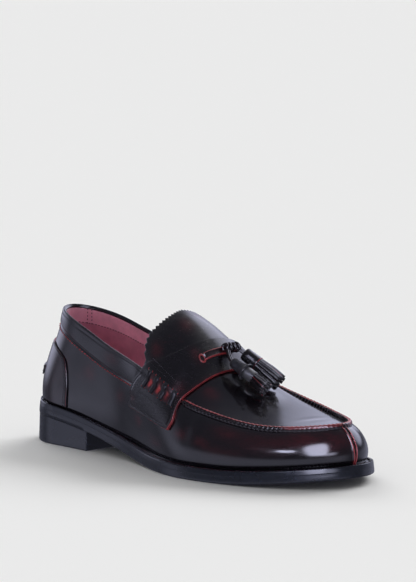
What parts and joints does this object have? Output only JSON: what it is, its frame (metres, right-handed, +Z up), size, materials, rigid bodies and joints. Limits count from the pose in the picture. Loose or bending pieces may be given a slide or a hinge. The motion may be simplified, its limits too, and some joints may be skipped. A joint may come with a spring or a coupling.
{
  "type": "tassel loafer",
  "caption": "Slip-on dress loafer with a raised apron seam, a saddle strap with woven side laces, a pinked tongue, tassels on a knotted thong, a welted sole and a stacked heel.",
  "frame": {"origin": "centre of the heel's face on the floor", "axes": "+X from the heel to the toe, +Y to the inner (medial) side, +Z up"},
  "size_m": [0.3003, 0.1128, 0.1025],
  "materials": {
    "upper_leather": "high-shine brush-off leather, near-black burgundy with red rubbed patches and raw edges",
    "lace_leather": "glossy dark leather",
    "edge_leather": "polished black-blue sole edge",
    "welt_leather": "satin black, stitched",
    "lining_leather": "soft dusty burgundy lining",
    "lift_rubber": "matt black rubber"
  },
  "bodies": {
    "root": {"top_lift": "lift_rubber", "heel_block": "edge_leather", "outsole": "edge_leather", "welt": "welt_leather", "insole": "lining_leather", "upper": "upper_leather", "heel_counter": "upper_leather", "heel_tab": "upper_leather", "tongue": "upper_leather", "saddle_strap": "upper_leather", "side_lace_lateral": "lace_leather", "side_lace_medial": "lace_leather", "tassel_tie": "upper_leather", "tassel_lateral": "upper_leather", "tassel_medial": "upper_leather"}
  },
  "joints": []
}
